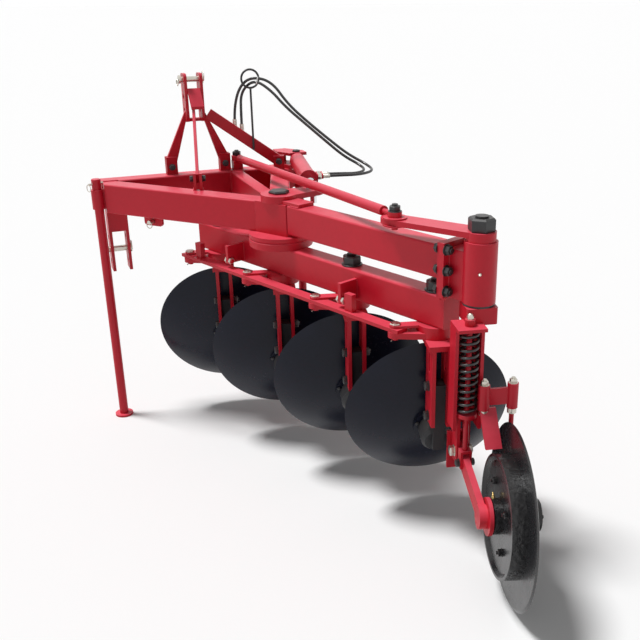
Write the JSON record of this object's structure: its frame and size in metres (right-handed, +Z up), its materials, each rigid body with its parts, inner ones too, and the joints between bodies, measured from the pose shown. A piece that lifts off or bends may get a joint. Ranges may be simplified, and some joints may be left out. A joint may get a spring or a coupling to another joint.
{
  "type": "disc plough",
  "caption": "Mounted two-way disc plough: oblique beam on a turntable, dished discs on turning hangers, three-point mast, swing cylinder and sprung rear furrow wheel.",
  "frame": {"origin": "on the ground under the middle of the bounding box, hoses left out", "axes": "+X right, +Y forward in the direction of travel, +Z up"},
  "size_m": [1.3866, 2.4209, 1.673],
  "materials": {
    "red_paint": "gloss red enamel",
    "disc_blue_black": "gloss blue-black lacquer",
    "standard_grey": "dark grey paint",
    "wheel_black": "black paint over a hammered rim",
    "spring_steel": "black oxide",
    "zinc": "yellow zinc",
    "chrome_rod": "hard chrome",
    "black_steel": "black paint",
    "hose_rubber": "smooth black hose cover"
  },
  "bodies": {
    "frame": {"cross_beam": "red_paint", "oblique_beam_left": "red_paint", "oblique_beam_right": "red_paint", "centre_beam": "red_paint", "pivot_housing": "red_paint", "mast_head": "red_paint", "mast_leg_left": "red_paint", "mast_leg_right": "red_paint", "mast_leg_rear": "red_paint", "mast_brace": "red_paint", "top_link_pin": "zinc", "lower_link_bracket_left": "red_paint", "lower_link_bracket_right": "red_paint", "lower_link_pin_left": "zinc", "lower_link_pin_right": "zinc", "stand_sleeve_left": "red_paint", "stand_sleeve_right": "red_paint", "rod_block": "red_paint", "cylinder_barrel": "red_paint", "cylinder_clevis": "red_paint", "hose_holder": "black_steel", "coupler_1": "zinc", "coupler_2": "zinc", "hose_1": "hose_rubber", "hose_2": "hose_rubber", "lock_lug": "red_paint"},
    "stand_left": {"stand_left": "red_paint"},
    "stand_right": {"stand_right": "red_paint"},
    "swing": {"pivot_post": "red_paint", "pivot_lever": "red_paint", "upper_beam": "red_paint", "lower_beam": "red_paint", "rear_housing": "red_paint"},
    "gang_1": {"hanger_1": "red_paint", "standard_1": "standard_grey"},
    "disc_1": {"disc_1": "disc_blue_black"},
    "gang_2": {"hanger_2": "red_paint", "standard_2": "standard_grey"},
    "disc_2": {"disc_2": "disc_blue_black"},
    "gang_3": {"hanger_3": "red_paint", "standard_3": "standard_grey"},
    "disc_3": {"disc_3": "disc_blue_black"},
    "gang_4": {"hanger_4": "red_paint", "standard_4": "standard_grey"},
    "disc_4": {"disc_4": "disc_blue_black"},
    "tie_bar": {"tie_bar": "red_paint"},
    "wheel_unit": {"wheel_carrier": "red_paint", "steer_lever": "red_paint", "spring": "spring_steel", "spring_rod": "red_paint", "wheel_arm": "red_paint", "wheel_scraper": "red_paint"},
    "furrow_wheel": {"furrow_wheel": "wheel_black"},
    "steering_rod": {"steering_rod": "red_paint"},
    "cylinder_rod": {"cylinder_rod": "chrome_rod"}
  },
  "joints": [
    {"name": "swing_turn", "type": "hinge", "parent": "frame", "child": "swing", "pos_m": [0.01965, 0.41753, 1.1], "axis": [0, 0, -1], "range_deg": [0, 43]},
    {"name": "hanger_1_turn", "type": "hinge", "parent": "swing", "child": "gang_1", "pos_m": [-0.14308, 0.83063, 0.9], "axis": [0, 0, 1], "range_deg": [0, 72]},
    {"name": "disc_1_spin", "type": "hinge", "parent": "gang_1", "child": "disc_1", "pos_m": [-0.13801, 0.85023, 0.44041], "axis": [0.2418, 0.9352, 0.2588], "continuous": true},
    {"name": "hanger_2_turn", "type": "hinge", "parent": "swing", "child": "gang_2", "pos_m": [0.01965, 0.41753, 0.9], "axis": [0, 0, 1], "range_deg": [0, 72]},
    {"name": "disc_2_spin", "type": "hinge", "parent": "gang_2", "child": "disc_2", "pos_m": [0.02472, 0.43712, 0.44041], "axis": [0.2418, 0.9352, 0.2588], "continuous": true},
    {"name": "hanger_3_turn", "type": "hinge", "parent": "swing", "child": "gang_3", "pos_m": [0.18238, 0.00442, 0.9], "axis": [0, 0, 1], "range_deg": [0, 72]},
    {"name": "disc_3_spin", "type": "hinge", "parent": "gang_3", "child": "disc_3", "pos_m": [0.18744, 0.02402, 0.44041], "axis": [0.2418, 0.9352, 0.2588], "continuous": true},
    {"name": "hanger_4_turn", "type": "hinge", "parent": "swing", "child": "gang_4", "pos_m": [0.3451, -0.40868, 0.9], "axis": [0, 0, 1], "range_deg": [0, 72]},
    {"name": "disc_4_spin", "type": "hinge", "parent": "gang_4", "child": "disc_4", "pos_m": [0.35017, -0.38909, 0.44041], "axis": [0.2418, 0.9352, 0.2588], "continuous": true},
    {"name": "tie_bar_turn", "type": "hinge", "parent": "gang_1", "child": "tie_bar", "pos_m": [-0.2883, 0.86819, 0.855], "axis": [0, 0, 1], "range_deg": [-72, 0]},
    {"name": "wheel_steer", "type": "hinge", "parent": "swing", "child": "wheel_unit", "pos_m": [0.4173, -0.59198, 1.1], "axis": [0, 0, 1], "range_deg": [0, 18.1]},
    {"name": "furrow_wheel_spin", "type": "hinge", "parent": "wheel_unit", "child": "furrow_wheel", "pos_m": [0.37102, -0.8944, 0.32285], "axis": [-0.9531, 0.3005, 0.0349], "continuous": true},
    {"name": "steering_rod_turn", "type": "hinge", "parent": "frame", "child": "steering_rod", "pos_m": [0.03265, 1.14453, 1.262], "axis": [0, 0, 1], "range_deg": [-25.5, 0]},
    {"name": "cylinder_slide", "type": "slide", "parent": "frame", "child": "cylinder_rod", "axis": [-0.2106, -0.9776, 0], "range_m": [0, 0.1212]},
    {"name": "stand_left_slide", "type": "slide", "parent": "frame", "child": "stand_left", "axis": [0, 0, 1], "range_m": [0, 0.5]},
    {"name": "stand_right_slide", "type": "slide", "parent": "frame", "child": "stand_right", "axis": [0, 0, 1], "range_m": [0, 0.5]}
  ],
  "couplings": [
    {"joint": "hanger_2_turn", "follows": "hanger_1_turn", "ratio": 1},
    {"joint": "hanger_3_turn", "follows": "hanger_1_turn", "ratio": 1},
    {"joint": "hanger_4_turn", "follows": "hanger_1_turn", "ratio": 1},
    {"joint": "tie_bar_turn", "follows": "hanger_1_turn", "ratio": -1},
    {"joint": "wheel_steer", "follows": "swing_turn", "ratio": 0.42},
    {"joint": "steering_rod_turn", "follows": "swing_turn", "ratio": -0.59},
    {"joint": "cylinder_slide", "follows": "swing_turn", "m_per_rad": 0.16115}
  ]
}
